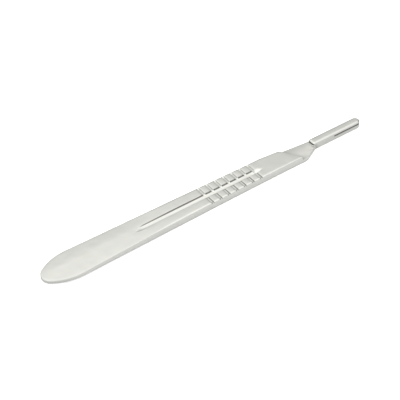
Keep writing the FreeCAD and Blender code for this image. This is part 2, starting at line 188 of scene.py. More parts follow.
class SteelFinish(bpy.types.PropertyGroup):
    colour: tint("Steel", "#d6d6d0", "Colour of the polished faces")
    # Painted shade: a dark grey mixed into the steel's colour on the cut walls, in the slots, over the seat
    # and at the corners.
    shade_paint_colour: tint("Shade paint", "#5a5a56", "Colour of the cut walls that polishing doesn't reach")
    # Painted highlight: a pale tint mixed into the steel's colour over the channel's floor, at the groove
    # mouths and on the seat's near side.
    highlight_paint_colour: tint("Highlight paint", "#f2f2ea", "Colour of the channel's floor as the cutter leaves it")
    roughness: number("Roughness", 0.30, "Roughness of the polished faces")
    roughness_spread: number("Roughness spread", 0.03, "How much the clouds change the roughness each way")
    grain: length("Grain", 0.25 * MM, "Size of the marks that tumbling leaves")
    grain_height: length("Grain height", 0.004 * MM, "Depth of those marks, as the shader's bump")
    waves: length("Waves", 4.0 * MM, "Spacing of the shallow waves that grinding and tumbling leave")
    wave_height: length("Wave height", 0.07 * MM, "Depth of those waves, as the shader's bump")
    clouds: length("Clouds", 9.0 * MM, "Size of the patches where the finish is a little duller")


class StudioSettings(bpy.types.PropertyGroup):
    table_colour: tint("Table", "#e6e6e8", "Colour of the table")
    table_glow: number("Table glow", 0.65, "What the camera sees of the table beyond the light on it")
    table_half_size: length("Table half size", 1.5, "Middle of the table to its sides")
    camera_distance: length("Camera distance", 400.0 * MM, "Camera to the point that it looks at")
    camera_elevation: angle("Camera elevation", 42.0, "Angle that the camera looks down by")
    camera_azimuth: angle("Camera azimuth", 36.42, "Angle of the view from straight across the handle")
    focal_length: bpy.props.FloatProperty(
        name="Focal length", description="Lens, for the sensor's width", default=103.6, min=1.0,
        subtype="DISTANCE_CAMERA")
    sensor_width: bpy.props.FloatProperty(
        name="Sensor width", description="Width of the camera's sensor", default=36.0, min=1.0,
        subtype="DISTANCE_CAMERA")
    aim_along: length("Aim along", 64.48 * MM, "Where the camera looks, from the rear tip")
    aim_across: length("Aim across", 1.88 * MM, "Where the camera looks, towards the long flank")
    lamp_height: length("Softbox height", 600.0 * MM, "Table to the softbox")
    lamp_offset: length("Softbox offset", 100.0 * MM, "Softbox from straight above, towards the far side")
    lamp_size: length("Softbox size", 400.0 * MM, "Side of the softbox")
    lamp_power: number("Softbox power", 0.35, "Power of the softbox in watts", 0.0, 100.0)


# The handle's plan, counted from the rear tip

FLANK_BLEND = 0.05 * MM
STEP_PASSES = 20


class Plan:
    """Outline of the handle from its sizes s: y of both sides at any distance u from the rear tip."""

    def __init__(self, s):
        self.s = s
        self.root = s.overall_length - s.tang_length
        self.half_tang = s.tang_width / 2
        self.tip = s.overall_length - self.half_tang
        self.wall_end = self.root + s.tang_corner
        self.shoulder = self.root - s.shoulder_lead
        self.belly_start = self.root - s.belly_lead
        self.flank_start = self.root - s.flank_lead
        self.long_side = s.tang_offset + self.half_tang
        self.short_side = s.tang_offset - self.half_tang
        half_front = s.front_width / 2
        self.nose = s.nose_radius
        apart = s.flank_radius - s.nose_radius
        self.flank_y = s.rear_width / 2 - s.flank_radius
        self.flank_x = self.nose + math.sqrt(apart ** 2 - self.flank_y ** 2)
        self.nose_end = self.nose - (self.flank_x - self.nose) * s.nose_radius / apart

        # The hollow side touches the flank's circle and passes the shoulder.
        chord = Vector((self.shoulder - self.flank_x, half_front - self.flank_y))
        apart = s.waist_radius + s.flank_radius
        along = (apart ** 2 - s.waist_radius ** 2 + chord.length ** 2) / (2 * chord.length)
        aside = math.sqrt(apart ** 2 - along ** 2)
        direction = chord.normalized()
        self.waist_x = self.flank_x + direction.x * along - direction.y * aside
        self.waist_y = self.flank_y + direction.y * along + direction.x * aside
        self.flank_end = self.flank_x + (self.waist_x - self.flank_x) * s.flank_radius / apart

        # The belly's circle touches the near side, and the short flank touches the belly.
        self.belly_y = s.belly_radius - half_front
        reach = Vector((self.wall_end - self.belly_start, self.short_side - self.belly_y))
        turn = math.atan2(reach.y, reach.x) - math.acos(s.belly_radius / reach.length)
        self.belly_end = self.belly_start + math.cos(turn) * s.belly_radius
        self.belly_end_y = self.belly_y + math.sin(turn) * s.belly_radius

    def half_body(self, u):
        """Half the width: nose circle, then flank circle, then the hollow side's circle, then level."""
        s = self.s
        nose = np.sqrt(np.maximum(s.nose_radius ** 2 - (u - self.nose) ** 2, 0))
        flank = self.flank_y + np.sqrt(np.maximum(s.flank_radius ** 2 - (u - self.flank_x) ** 2, 0))
        ahead = np.minimum(u, self.shoulder)
        side = self.waist_y - np.sqrt(s.waist_radius ** 2 - (ahead - self.waist_x) ** 2)
        return np.where(u < self.nose_end, nose, np.where(u < self.flank_end, flank, side))

    def half_tip(self, u):
        """Half the tang's width: level, then its round tip."""
        return np.sqrt(np.maximum(self.half_tang ** 2 - np.maximum(u - self.tip, 0) ** 2, 0))

    def far(self, u):
        """y of the long side: body, straight flank, tang."""
        s = self.s
        body = self.half_body(u)
        slope = (s.front_width / 2 - self.long_side) / (self.wall_end - self.flank_start)
        flank = s.front_width / 2 - (u - self.flank_start) * slope
        flank = np.where(u > self.flank_start, soft_min(body, flank, FLANK_BLEND), body)
        return np.where(u < self.wall_end, flank, s.tang_offset + self.half_tip(u))

    def near(self, u):
        """y of the short side: body, belly circle, straight flank, tang."""
        s = self.s
        belly = self.belly_y - np.sqrt(np.maximum(s.belly_radius ** 2 - (u - self.belly_start) ** 2, 0))
        t = (u - self.belly_end) / (self.wall_end - self.belly_end)
        flank = self.belly_end_y + t * (self.short_side - self.belly_end_y)
        neck = np.where(u < self.belly_end, belly, flank)
        body = np.where(u < self.belly_start, -self.half_body(u), neck)
        return np.where(u < self.wall_end, body, s.tang_offset - self.half_tip(u))


def inward(x, y, side):
    """Unit normals of an outline that point into the handle."""
    dx = np.gradient(x)
    dy = np.gradient(y)
    size = np.hypot(dx, dy)
    return -dy / size * side, dx / size * side


# Rows and columns of the surface

# Rows over the nose, a groove's wall, the lead to the step, the tang's lip and its tip
NOSE_ROWS = 36
FLARE_ROWS = 6
LEAD_ROWS = 32
LIP_ROWS = 10
TIP_ROWS = 28

# Points down the rounded rim, an upright wall and a side, with both ends counted for rim and side
RIM_STEPS = 6
WALL_STEPS = 5
SIDE_STEPS = 10

# Spacing of the rows elsewhere
COARSE_ROW = 1.0 * MM
PLAIN_ROW = 0.6 * MM
FINE_ROW = 0.15 * MM
TANG_ROW = 0.4 * MM
SLOT_ROW = 0.5 * MM

# Room between two kinds of spacing
NOSE_MARGIN = 0.25 * MM
RUNOUT_MARGIN = 0.5 * MM
GRIP_MARGIN = 1.6 * MM
LIP_MARGIN = 0.2 * MM
SLOT_MARGIN = 0.3 * MM

# Rows over half a groove's floor as shares of it, past its rim, before the step and at the slot's end
GROOVE_FLOOR_ROWS = np.array([0.0, 0.6, 0.85])
BESIDE_GROOVE = np.array([0.05, 0.10, 0.17, 0.27, 0.45, 0.75]) * MM
BEFORE_STEP = np.array([0.36, 0.28, 0.21, 0.15, 0.10, 0.06, 0.03, 0.01, 0.0]) * MM
AT_SLOT = np.array([-0.15, -0.01, 0.01, 0.1, 0.3]) * MM

# Runs of rows over the seat: start and end as shares of it, and a count with both ends
SEAT_RUNS = ((0.0, 0.03, 7), (0.03, 0.93, 34), (0.93, 1.0, 12))

# Columns over half the channel as shares of it, and the count from there to the rim
CHANNEL_COLUMNS = np.array([
    0, 0.2, 0.38, 0.54, 0.67, 0.77, 0.85, 0.91, 0.955, 0.985, 1.01, 1.05, 1.12, 1.24, 1.4])
COLUMNS_BESIDE = 9

# The inward vectors turn to run along the rows from the rear tip, and back before the tang's tip.
LEAN_STARTS = (10 * MM, 25 * MM)
LEAN_ENDS = (5 * MM, 2 * MM)

# Least share of a row's direction in an outline's normal, so that no rim point goes far along a row
LEAST_FACING = 0.3


def square_rows(plan):
    """Places of the rows from the rear tip to past the channel, square to the handle.

    They crowd together at the round tip, at the channel's run-outs and at every groove.
    """
    s = plan.s
    nose = plan.nose * (1 - np.cos(np.linspace(0, math.pi / 2, NOSE_ROWS)))
    reach = math.sqrt(2 * s.channel_runout * s.channel_depth)
    early = s.channel_rear - reach - RUNOUT_MARGIN
    late = s.channel_rear + RUNOUT_MARGIN
    rear = np.arange(plan.nose + NOSE_MARGIN, early, PLAIN_ROW)
    runout = np.arange(early, late, FINE_ROW)
    run = np.arange(late, s.groove_first - GRIP_MARGIN, COARSE_ROW)
    half = s.groove_width / 2
    floor = s.groove_floor / 2
    flare = np.linspace(floor, half, FLARE_ROWS)
    one_side = np.concatenate((floor * GROOVE_FLOOR_ROWS, flare, half + BESIDE_GROOVE))
    groove = np.concatenate((-one_side[:0:-1], one_side))
    centres = s.groove_first + np.arange(s.groove_count) * s.groove_pitch
    grip = (centres[:, None] + groove[None, :]).ravel()
    front = np.arange(grip[-1] + FINE_ROW, s.channel_front + reach + PLAIN_ROW, FINE_ROW)
    return np.unique(np.round(np.concatenate((nose, rear, runout, run, grip, front)), 8))


def step_places(plan):
    """Where the oblique step meets the near side and the far side.

    The far side narrows there, so each pass follows the step's line to the last place's width.
    """
    s = plan.s
    lean = math.tan(s.step_angle)
    far = plan.shoulder
    for _ in range(STEP_PASSES):
        far = plan.shoulder + lean * (s.front_width / 2 - float(plan.far(np.array(far))))
    return plan.shoulder + lean * s.front_width, far


def stations(plan):
    """Places of the rows along the near and the far side, for the body, the seat and the tang.

    Rows are square to the handle as far as the grip, lean over evenly to lie along the oblique
    step, and come back to square at the tang's rear wall.
    """
    s = plan.s
    square = square_rows(plan)
    steps = step_places(plan)
    t = np.linspace(0, 1, LEAD_ROWS)[1:]
    body = []
    for step in steps:
        lead = square[-1] + t * (step - BEFORE_STEP[0] - square[-1])
        body.append(np.concatenate((square, lead, step - BEFORE_STEP[1:])))

    t = np.concatenate([[0.0]] + [np.linspace(*run)[1:] for run in SEAT_RUNS])
    seat = [step + t * (plan.wall_end - step) for step in steps]
    lip = plan.wall_end + s.tang_lip * (1 - np.cos(np.linspace(0, math.pi / 2, LIP_ROWS)))
    slot_start = s.overall_length - s.slot_length
    rest = np.arange(plan.wall_end + s.tang_lip + LIP_MARGIN, slot_start - SLOT_MARGIN, TANG_ROW)
    slot = slot_start + AT_SLOT
    late = np.arange(slot[-1] + TANG_ROW, plan.tip, SLOT_ROW)
    tip = plan.tip + plan.half_tang * np.sin(np.linspace(0, math.pi / 2, TIP_ROWS))
    tang = np.concatenate((lip, rest, slot, late, tip))
    return body, seat, (tang, tang)


def channel_middle(s):
    """Middle and half the width of the channel."""
    return (s.channel_far - s.channel_near) / 2, (s.channel_far + s.channel_near) / 2


def fractions_across(s, inner_half):
    """Column places across each row, from -1 to 1, close together at its ends and over the channel."""
    centre, half = channel_middle(s)
    last = CHANNEL_COLUMNS[-1]
    edge = np.minimum(last * half, inner_half / 2)[:, None] / last
    inside = np.concatenate((-CHANNEL_COLUMNS[:0:-1], CHANNEL_COLUMNS))[None, :] * edge
    inside = inside + centre * edge / half
    t = (1 - np.cos(np.linspace(0, math.pi, COLUMNS_BESIDE))) / 2
    rim = inner_half[:, None]
    near = -rim + (inside[:, :1] + rim) * t[None, :-1]
    far = inside[:, -1:] + (rim - inside[:, -1:]) * t[None, 1:]
    return np.concatenate((near, inside, far), axis=1) / np.maximum(rim, LEAST)


def rim_places(u, y, side, row, along, inset):
    """Rim points of one side: the outline's points plus an inward vector times each inset.

    The vector runs along the row over the body, and square to the outline round both ends.
    """
    nx, ny = inward(u, y, side)
    facing = np.maximum(np.abs(row[0] * nx + row[1] * ny), LEAST_FACING)
    vx = nx * (1 - along) + side * row[0] / facing * along
    vy = ny * (1 - along) + side * row[1] / facing * along
    return u[:, None] + vx[:, None] * inset, y[:, None] + vy[:, None] * inset


def spread(plan, u_near, u_far, rim, bend):
    """Plan places of whole rows: rim points along both edges, and columns between them.

    A rim point's inset is r(1 - cos a), for angles a from 0 to a quarter turn. The bend, from 0
    to 1, is how much a row follows the tang's rear wall and its round corners.
    """
    s = plan.s
    y_near = plan.near(u_near)
    y_far = plan.far(u_far)
    size = np.maximum(np.hypot(u_far - u_near, y_far - y_near), LEAST)
    row = ((u_far - u_near) / size, (y_far - y_near) / size)
    along = band(u_near, LEAN_STARTS, (plan.tip - LEAN_ENDS[0], plan.tip - LEAN_ENDS[1]))
    turn = np.linspace(0, math.pi / 2, RIM_STEPS)
    inset = rim[:, None] * (1 - np.cos(turn))[None, :]
    near_x, near_y = rim_places(u_near, y_near, 1, row, along, inset)
    far_x, far_y = rim_places(u_far, y_far, -1, row, along, inset)

    inner_half = np.maximum((far_y[:, -1] - near_y[:, -1]) / 2, 0)
    t = fractions_across(s, inner_half)[:, 1:-1]
    x = (near_x[:, -1:] + far_x[:, -1:]) / 2 + (far_x[:, -1:] - near_x[:, -1:]) / 2 * t
    y = (near_y[:, -1:] + far_y[:, -1:]) / 2 + inner_half[:, None] * t
    x = np.concatenate((near_x, x, far_x[:, ::-1]), axis=1)
    y = np.concatenate((near_y, y, far_y[:, ::-1]), axis=1)
    edge = np.full(x.shape, math.pi / 2)
    edge[:, :RIM_STEPS] = turn
    edge[:, -RIM_STEPS:] = turn[::-1]

    middle = (y_near + y_far)[:, None] / 2
    half_row = np.maximum((y_far - y_near)[:, None] / 2, LEAST)
    across = np.abs(y - middle) / half_row * plan.half_tang
    reach = np.maximum(across - (plan.half_tang - s.tang_corner), 0)
    corner = s.tang_corner - np.sqrt(np.maximum(s.tang_corner ** 2 - reach ** 2, 0))
    return x - (s.tang_corner - corner) * bend[:, None], y, edge


# Heights above the mid plane

# Rise past the channel's rims, for a reach as wide as from its lowest line to that rim
PAST_RIM_RISE = 1.0 * MM

# Share of a groove's depth that is lost at the handle's edge
SHALLOW_SHARE = 0.6

# Roundings at a groove's foot and mouth, and at the channel's near and far rim
GROOVE_FOOT = 0.06 * MM
GROOVE_MOUTH = 0.26 * MM
NEAR_RIM_ROUNDING = 0.20 * MM
FAR_RIM_ROUNDING = 0.08 * MM

# Where the crown beside the channel fades, how soft the ridge is and where it fades, and where
# the tang's lip turns into its long edges
CROWN_FADE = 4 * MM
RIDGE_WIDTH = 0.5 * MM
RIDGE_FADE = (30 * MM, 46 * MM)
LIP_TO_EDGE = (0.6 * MM, 2.2 * MM)


def face_level(s, u):
    """Height of the face: level, then a parabola, then a straight taper."""
    slope = (s.thickness - s.rear_thickness) / 2 / s.taper_length
    soft = np.clip(s.taper_length + s.taper_blend - u, 0, 2 * s.taper_blend)
    straight = np.maximum(s.taper_length - s.taper_blend - u, 0)
    return s.thickness / 2 - soft ** 2 * slope / (4 * s.taper_blend) - straight * slope


def across_channel(s, y):
    """Place across the channel: 0 at its lowest line, -1 at its near rim and 1 at its far rim."""
    from_bottom = y + s.channel_bottom
    near = s.channel_near - s.channel_bottom
    far = s.channel_far + s.channel_bottom
    return np.where(from_bottom < 0, from_bottom / near, from_bottom / far)


def channel_level(s, u, y):
    """Height of the channel.

    Across, the floor rises by depth (1 - (1 - n^p)^(1/p)), where n goes from 0 at the lowest
    line to 1 at a rim; the far side mixes this with an even slope, depth n. Past the rims it
    rises evenly. Along, both ends rise on a large circle.
    """
    n = across_channel(s, y)
    size = np.minimum(np.abs(n), 1)
    bowl = 1 - (1 - size ** s.channel_power) ** (1 / s.channel_power)
    slant = np.where(n > 0, s.channel_slant, 0)
    section = s.channel_depth * (bowl * (1 - slant) + size * slant)
    past = np.maximum(np.abs(n) - 1, 0) * PAST_RIM_RISE
    beyond = np.maximum(np.maximum(s.channel_rear - u, u - s.channel_front), 0)
    rise = s.channel_runout - np.sqrt(np.maximum(s.channel_runout ** 2 - beyond ** 2, 0))
    return s.thickness / 2 - s.channel_depth + section + past + rise


def groove_away(s, u):
    """Distance to the middle of the nearest grip groove."""
    place = np.clip(np.round((u - s.groove_first) / s.groove_pitch), 0, s.groove_count - 1)
    return np.abs(u - s.groove_first - place * s.groove_pitch)


def groove_level(s, u, rim):
    """Height of the grip grooves: a flat floor and flared walls.

    Near the handle's edges the floor rises, so the grooves are shallow where they run out.
    """
    run = (s.groove_width - s.groove_floor) / 2
    flare = (groove_away(s, u) - s.groove_floor / 2) / run * s.groove_depth
    shallow = (1 - smooth_step(0, s.groove_end, rim)) * s.groove_depth * SHALLOW_SHARE
    return s.thickness / 2 - s.groove_depth + shallow + soft_max(flare, np.zeros_like(flare), GROOVE_FOOT)


def rim_drop(edge, radius):
    """Fall of a rounded rim below the face, r(1 - sin a)."""
    return radius[:, None] * (1 - np.sin(edge))


def rim_distance(y):
    """Distance of each point of a row to the nearer end of that row."""
    return np.minimum(y - y[:, :1], y[:, -1:] - y)


def body_height(s, x, y, edge, drop, before_step):
    """Height of the face less its rim and its crowns, cut by the grooves and by the channel.

    Over the rear the face is a soft roof: at a distance d from its ridge it falls by its slope
    times sqrt(d^2 + w^2) - w.
    """
    rim = rim_distance(y)
    centre, half = channel_middle(s)
    beside_channel = band(
        x, (s.channel_rear - CROWN_FADE, s.channel_rear), (s.channel_front, s.channel_front + CROWN_FADE))
    beside_groove = groove_away(s, x) - s.groove_width / 2
    z = face_level(s, x) - rim_drop(edge, drop)
    z = z - crown(rim, s.edge_crown, s.crown_reach)
    z = z - crown(np.abs(y - centre) - half, s.edge_crown, s.crown_reach) * beside_channel
    z = z - crown(beside_groove, s.edge_crown, s.crown_reach)
    z = z - crown(before_step, s.edge_crown, 2 * s.crown_reach)
    roof = math.tan(s.ridge_angle) * (np.hypot(y - s.ridge, RIDGE_WIDTH) - RIDGE_WIDTH)
    z = z - roof * (1 - smooth_step(*RIDGE_FADE, x))
    z = soft_min(z, groove_level(s, x, rim), GROOVE_MOUTH)
    return soft_min(z, channel_level(s, x, y), np.where(y < centre, NEAR_RIM_ROUNDING, FAR_RIM_ROUNDING))


def past_lip(plan, x):
    """0 over the tang's rear lip, and 1 where the rounding of its long edges is fully there."""
    return smooth_step(*LIP_TO_EDGE, x - plan.root)


def tang_height(plan, x, y):
    """Height of the tang's top.

    The distance d inside its outline gives the rounding, an ellipse h (1 - sqrt(1 - (1 - d/r)^2))
    that is a round lip at the rear edge, and a crown on top.
    """
    s = plan.s
    side = np.abs(y - s.tang_offset)
    past_side = side - (plan.half_tang - s.tang_corner)
    past_rear = plan.root + s.tang_corner - x
    outside = np.hypot(np.maximum(past_side, 0), np.maximum(past_rear, 0))
    inside = np.minimum(np.maximum(past_side, past_rear), 0)
    from_rear = s.tang_corner - outside - inside
    from_tip = plan.half_tang - np.hypot(np.maximum(x - plan.tip, 0), side)
    depth = np.maximum(np.where(x > plan.tip, from_tip, from_rear), 0)
    radius = s.tang_lip + (s.tang_edge - s.tang_lip) * past_lip(plan, x)
    fall = s.tang_lip + (s.tang_fall - s.tang_lip) * past_lip(plan, x)
    rounding = fall * (1 - np.sqrt(1 - (1 - np.minimum(depth / radius, 1)) ** 2))
    return s.thickness / 2 - rounding - crown(depth, 2 * s.edge_crown, s.crown_reach)


# Shares of painted shade and of painted highlight, from 0 to 1, and where they start and end

# In the channel. A place across it is 0 at its lowest line and 1 at a rim.
CHANNEL_REACH = (6 * MM, 2 * MM)
CHANNEL_EDGE = 1.1
WALL_DEPTH = (0.02 * MM, 0.07 * MM)
FAR_WALL = (0.72, 0.84)
FAR_WALL_SHARE = 0.88
NEAR_WALL = (0.5, 0.9)
NEAR_WALL_SHARE = 0.3
FLOOR_EDGE = (0.6, 0.8)
FLOOR_DEPTH = (0.05 * MM, 0.2 * MM)
FLOOR_SHARE = 0.05
POINT_STARTS = (1 * MM, 3 * MM)
POINT_SHARE = 0.7

# On a groove's walls, counted from its flat floor, and where that floor breaks into the channel
GROOVE_WALL_STARTS = (-0.05 * MM, 0.06 * MM)
GROOVE_WALL_ENDS = (0.20 * MM, 0.34 * MM)
GROOVE_WALL_DEPTH = 0.08 * MM
GROOVE_WALL_PLACE = (0.9, 1.1)
FAR_GROOVE_SHARE = 0.3
NEAR_GROOVE_SHARE = 0.65
MOUTH_STARTS = (0.6, 0.75)
MOUTH_ENDS = (1.1, 1.35)
MOUTH_FADE = 0.2 * MM

# On the oblique step and over the seat
STEP_WALL_SHARE = 0.7
STEP_SHADE = 0.75
STEP_SHADE_REACH = 0.85 * MM
FOOT_SHADE = 0.6
FOOT_SHADE_REACH = 0.12 * MM
FAR_SEAT_SHARE = 0.12
FAR_SEAT_START = 0.25
SEAT_SHINE = 0.45
SEAT_SHINE_STARTS = (0.5 * MM, 3 * MM)

# On the tang's rear lip
LIP_SHADE = (0.30 * MM, 0.55 * MM)
LIP_SHADE_LENGTH = 0.4 * MM
LIP_SHADE_MARGIN = 0.2 * MM

# Down the sides: round the rear tip, along the tang, in its slots and at the wall's corner
REAR_SIDE_SHARE = 0.25
REAR_SIDE_FADE = (3 * MM, 14 * MM)
TANG_SIDE_SHARE = 0.12
SLOT_SHARES = np.array([0.3, 0.88, 0.88, 0.88, 0.3])
CORNER_SHADE = 0.3
CORNER_SHADE_REACH = 0.06 * MM


def body_shares(s, x, y, z):
    """Shares of painted shade and of painted highlight over the body.

    The channel's far wall gets painted shade, and its near wall a little. A groove's flared walls
    get painted shade, most on the near side, and a painted highlight where its floor breaks into
    the channel's far side. The channel's floor gets a faint painted highlight, and a strong one at
    its front end.
    """
    below = np.minimum(face_level(s, x), groove_level(s, x, rim_distance(y))) - z
    n = across_channel(s, y)
    size = np.abs(n)
    along = (x > s.channel_rear - CHANNEL_REACH[0]) & (x < s.channel_front + CHANNEL_REACH[1])
    within = (size < CHANNEL_EDGE) & along
    far_wall = FAR_WALL_SHARE * smooth_step(*FAR_WALL, n)
    near_wall = NEAR_WALL_SHARE * smooth_step(*NEAR_WALL, -n)
    shade_share = np.where(n > 0, far_wall, near_wall) * smooth_step(*WALL_DEPTH, below) * within

    in_groove = groove_away(s, x) - s.groove_floor / 2
    strength = np.where(n > 1, FAR_GROOVE_SHARE, NEAR_GROOVE_SHARE) * smooth_step(*GROOVE_WALL_PLACE, size)
    wall = band(in_groove, GROOVE_WALL_STARTS, GROOVE_WALL_ENDS)
    shade_share = np.maximum(shade_share, strength * wall * (z < face_level(s, x) - GROOVE_WALL_DEPTH))

    mouth = band(n, MOUTH_STARTS, MOUTH_ENDS) * (1 - smooth_step(0, MOUTH_FADE, in_groove))
    floor = (1 - smooth_step(*FLOOR_EDGE, size)) * smooth_step(*FLOOR_DEPTH, below)
    point = smooth_step(*POINT_STARTS, x - s.channel_front)
    highlight_share = np.maximum(FLOOR_SHARE * floor * within, POINT_SHARE * floor * point)
    return shade_share * (1 - mouth), np.maximum(highlight_share, mouth * within)


# The handle's surface, row by row

# Where the long edges' rounding grows, where it narrows again, and by what share
EDGE_GROWS = (36 * MM, 50 * MM)
EDGE_NARROWS = (92 * MM, 103 * MM)
EDGE_LOSS = 0.5

# How far rows on the tang still bend with its rear wall, and how many even out beside a wall below
TANG_BEND = 4 * MM
EVEN_ROWS = 16

# Points of a side that shape the slot, half the length of its end wall, and the least steel above it
SLOT_POINTS = slice(1, 6)
SLOT_START_BLEND = 0.01 * MM
SLOT_CLEARANCE = 0.02 * MM


def long_edges(s, near):
    """Reach of the long edges' rounding into the face, and its fall, at places along the near side."""
    wide = smooth_step(*EDGE_GROWS, near) * (1 - EDGE_LOSS * smooth_step(*EDGE_NARROWS, near))
    return s.rear_breadth + (s.edge_breadth - s.rear_breadth) * wide, np.full(near.shape, s.edge_fall)


def body_rows(plan, body):
    """Upper face of the body up to the oblique step, and its shares."""
    s = plan.s
    rim, drop = long_edges(s, body[0])
    x, y, edge = spread(plan, *body, rim, np.zeros(len(rim)))
    on_step = plan.shoulder + math.tan(s.step_angle) * (s.front_width / 2 - y)
    before_step = (on_step - x) * math.cos(s.step_angle)
    z = body_height(s, x, y, edge, drop, before_step)
    return np.stack((x, y, z - fillet(before_step, s.step_edge)), axis=2), body_shares(s, x, y, z)


def seat_rows(plan, seat):
    """Blade seat between the oblique step and the tang's rear wall, and its shares.

    It gets painted shade by the step, by the wall and towards its far side, and a painted
    highlight on its near side.
    """
    s = plan.s
    t = (seat[0] - seat[0][0]) / (seat[0][-1] - seat[0][0])
    rim = np.full(len(t), s.seat_edge)
    x, y, edge = spread(plan, *seat, rim, t ** 3)
    from_step = (x - x[:1]) * math.cos(s.step_angle)
    from_tang = x[-1:] - x
    z = s.thickness / 2 - s.seat_depth - rim_drop(edge, rim)
    z = z + fillet(from_tang, s.seat_foot) + fillet(from_step, s.seat_foot)
    to_far = smooth_step(FAR_SEAT_START, 1.0, (y - y[:, :1]) / (y[:, -1:] - y[:, :1]))
    shade = crown(from_step, STEP_SHADE, STEP_SHADE_REACH) + crown(from_tang, FOOT_SHADE, FOOT_SHADE_REACH)
    shade_share = np.minimum(shade + FAR_SEAT_SHARE * to_far, 1)
    highlight_share = SEAT_SHINE * smooth_step(*SEAT_SHINE_STARTS, from_step) * (1 - to_far)
    return np.stack((x, y, z), axis=2), (shade_share, highlight_share)


def tang_rows(plan, tang):
    """Top of the tang, and its shares: painted shade at the foot of its rear lip."""
    s = plan.s
    u = tang[0]
    bend = np.clip(1 - (u - plan.wall_end) / TANG_BEND, 0, 1) ** 2
    bend = bend * (1 - smooth_step(0, TANG_BEND, u - plan.wall_end))
    rim = s.tang_lip + (s.tang_edge - s.tang_lip) * past_lip(plan, u)
    x, y, _ = spread(plan, *tang, rim, bend)
    z = tang_height(plan, x, y)
    at_wall = x < plan.wall_end + LIP_SHADE_LENGTH
    inside = np.abs(y - s.tang_offset) < plan.half_tang - LIP_SHADE_MARGIN
    shade_share = smooth_step(*LIP_SHADE, s.thickness / 2 - z) * at_wall * inside
    return np.stack((x, y, z), axis=2), (shade_share, np.zeros(x.shape))


def rows_between(start, end, share):
    """Upright wall between two rows, both left out, and its shares."""
    t = np.linspace(0, 1, WALL_STEPS + 2)[1:-1, None, None]
    points = start[None] * (1 - t) + end[None] * t
    return points, (np.full(points.shape[:2], share), np.zeros(points.shape[:2]))


def under_rows(plan, body, seat, tang):
    """Underside and its shares.

    Its rows stand under the upper ones, but even out where those are upright walls.
    """
    s = plan.s
    sides = []
    for u_body, u_seat, u_tang in zip(body, seat, tang):
        walls = [np.full(WALL_STEPS, u[-1]) for u in (u_body, u_seat)]
        u = np.concatenate((u_body, walls[0], u_seat, walls[1], u_tang))
        for first in (len(u_body), len(u_body) + WALL_STEPS + len(u_seat)):
            low = first - EVEN_ROWS
            high = first + WALL_STEPS + EVEN_ROWS
            u[low:high + 1] = u[low] + (u[high] - u[low]) * np.linspace(0, 1, high - low + 1)
        sides.append(u)
    rim, drop = long_edges(s, sides[0])
    x, y, edge = spread(plan, *sides, rim, np.zeros(len(rim)))
    no_step = np.full(x.shape, np.inf)
    z = body_height(s, x, y, edge, drop, no_step)
    return np.stack((x, y, -z), axis=2), body_shares(s, x, y, z)


def side_wall(plan, upper, lower, is_tang):
    """Points from an upper rim straight down to the lower one, and their share of painted shade.

    Along the tang one point lies above the slot and two below it, and those between step in by
    the slot's depth, from its top down to its floor, which is level with the blade seat.
    """
    s = plan.s
    t = np.linspace(0, 1, SIDE_STEPS)[1:-1]
    wall = upper[:, None] * (1 - t)[None, :, None] + lower[:, None] * t[None, :, None]
    z = wall[:, :, 2]
    floor = s.thickness / 2 - s.seat_depth
    slot_top = floor + s.slot_height
    levels = np.array([slot_top, slot_top, (slot_top + floor) / 2, floor, floor])
    depths = np.array([0, 1, 1, 1, 0]) * s.slot_depth
    z[is_tang, SLOT_POINTS] = np.minimum(levels, upper[is_tang, 2:] - SLOT_CLEARANCE)
    z[is_tang, 0] = (upper[is_tang, 2] + z[is_tang, 1]) / 2
    z[is_tang, 6] = floor + (lower[is_tang, 2] - floor) / 3
    z[is_tang, 7] = floor + (lower[is_tang, 2] - floor) * 2 / 3

    past_slot_start = upper[:, 0] - (s.overall_length - s.slot_length)
    in_slot = smooth_step(-SLOT_START_BLEND, SLOT_START_BLEND, past_slot_start)
    away = upper[:, 1] - s.tang_offset
    room = np.abs(away) - np.minimum(np.abs(away), plan.half_tang - s.slot_depth)
    cut = np.minimum(depths[None, :], room[:, None]) * in_slot[:, None]
    wall[:, SLOT_POINTS, 1] -= np.sign(away)[:, None] * np.where(is_tang[:, None], cut, 0)

    # Painted shade down the sides: darker round the rear tip and along the tang, dark in the slots, and a
    # dark band at the corner by the tang's rear wall.
    rear_side = REAR_SIDE_SHARE * (1 - smooth_step(*REAR_SIDE_FADE, upper[:, 0]))
    shade_share = np.where(is_tang, TANG_SIDE_SHARE, rear_side)[:, None] + np.zeros(z.shape)
    shade_share[is_tang, SLOT_POINTS] += in_slot[is_tang, None] * SLOT_SHARES
    corner = crown(np.abs(upper[:, 0] - plan.wall_end), CORNER_SHADE, CORNER_SHADE_REACH)
    return wall, np.maximum(shade_share, corner[:, None])


